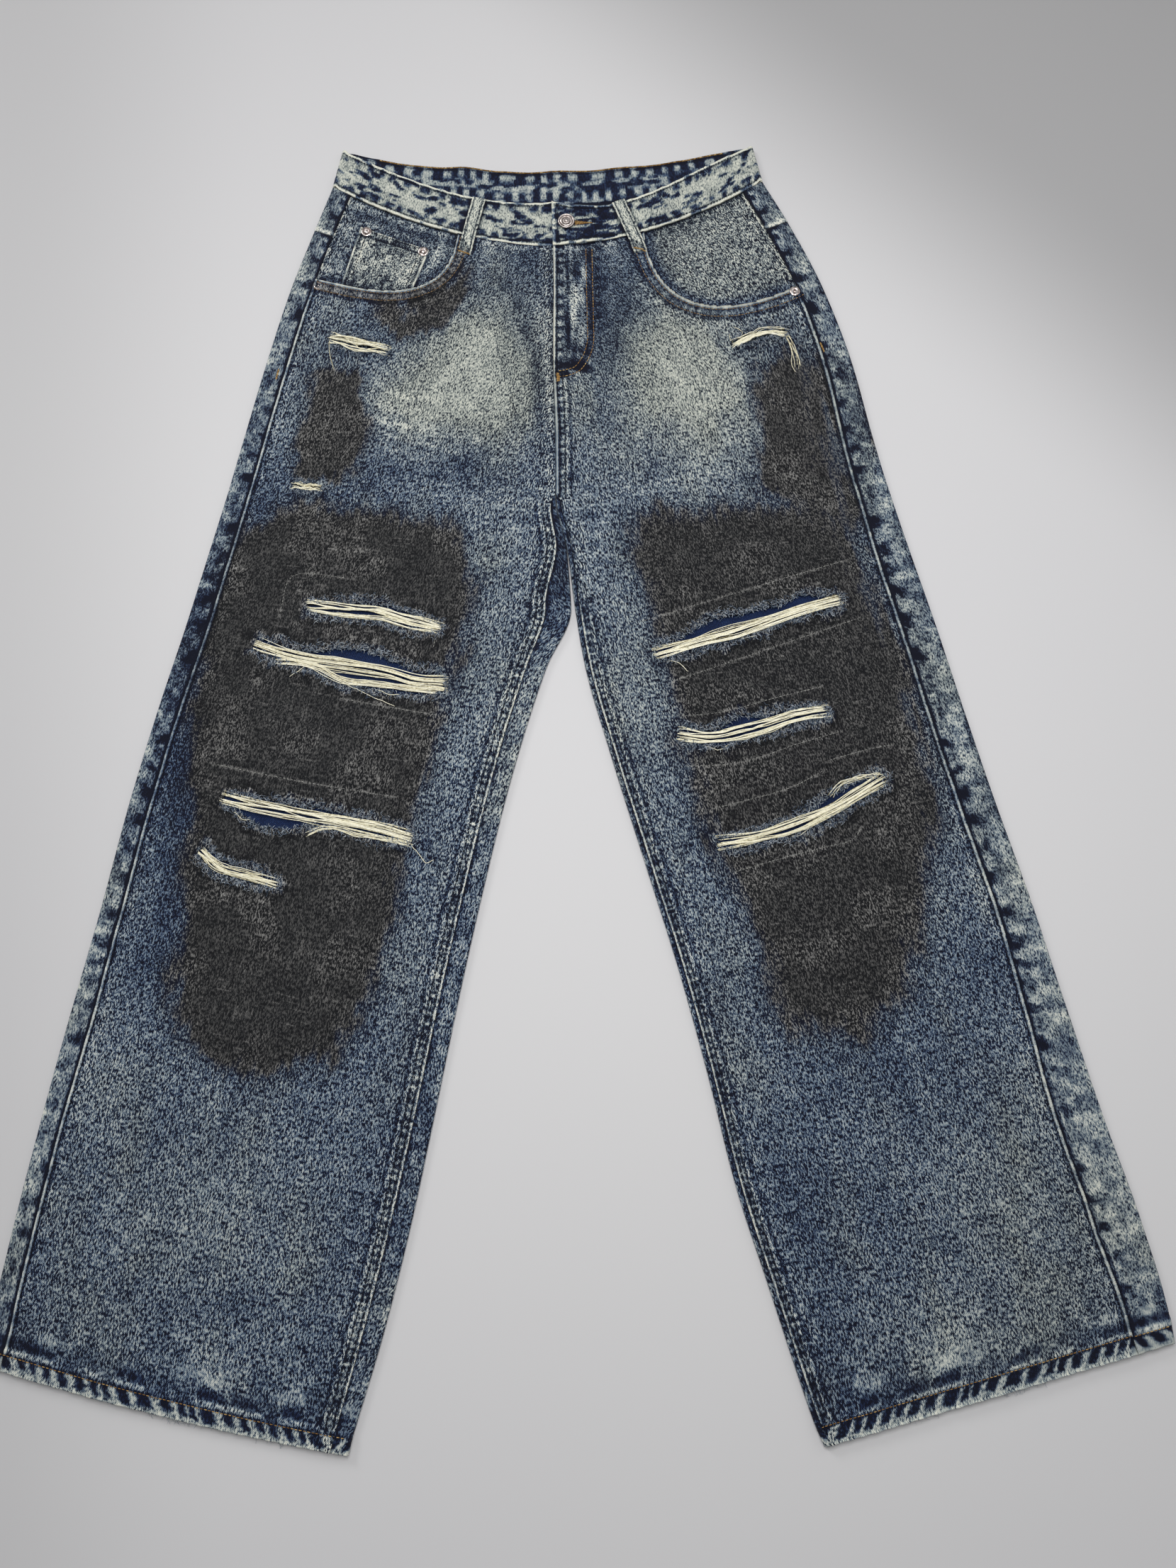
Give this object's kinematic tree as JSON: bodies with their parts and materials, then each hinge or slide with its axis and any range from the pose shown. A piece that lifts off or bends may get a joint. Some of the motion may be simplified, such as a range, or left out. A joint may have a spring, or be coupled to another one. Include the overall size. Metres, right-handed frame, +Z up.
{
  "type": "ripped wide-leg jeans, laid flat",
  "caption": "Wide-leg five-pocket denim jeans laid flat on their back, with ripped and patched thighs and knees, loose weft threads, belt loops and a waist button.",
  "frame": {"origin": "middle of the outline seen from above, on the surface that the jeans lie on", "axes": "+Y from the hems towards the waist, +Z up from the surface, +X to the wearer's left leg, the picture's right"},
  "size_m": [0.88, 1.1121, 0.0108],
  "materials": {
    "denim": "snow-washed blue denim twill with smoky smudges, worn and creased",
    "patch_cloth": "dark blue backing cloth behind the rips",
    "thread": "loose cream cotton weft threads",
    "metal": "dull rose-silver plated brass, brushed by wear"
  },
  "bodies": {
    "root": {"front_right": "denim", "front_left": "denim", "back_right": "denim", "back_left": "denim", "yoke_right": "denim", "yoke_left": "denim", "waistband": "denim", "pocket_facing_right": "denim", "pocket_facing_left": "denim", "coin_pocket": "denim", "belt_loop_right": "denim", "belt_loop_left": "denim", "button": "metal", "rivet_coin_outer": "metal", "rivet_coin_inner": "metal", "rivet_pocket_right": "metal", "rivet_pocket_left": "metal", "patch_thigh_right": "patch_cloth", "patch_knee_right": "patch_cloth", "patch_thigh_left": "patch_cloth", "patch_low_thigh_left": "patch_cloth", "patch_knee_left": "patch_cloth", "threads_hip_right": "thread", "threads_low_hip_right": "thread", "threads_thigh_right": "thread", "threads_low_thigh_right": "thread", "threads_knee_right": "thread", "threads_low_knee_right": "thread", "threads_hip_left": "thread", "threads_thigh_left": "thread", "threads_low_thigh_left": "thread", "threads_knee_left": "thread"}
  },
  "joints": []
}
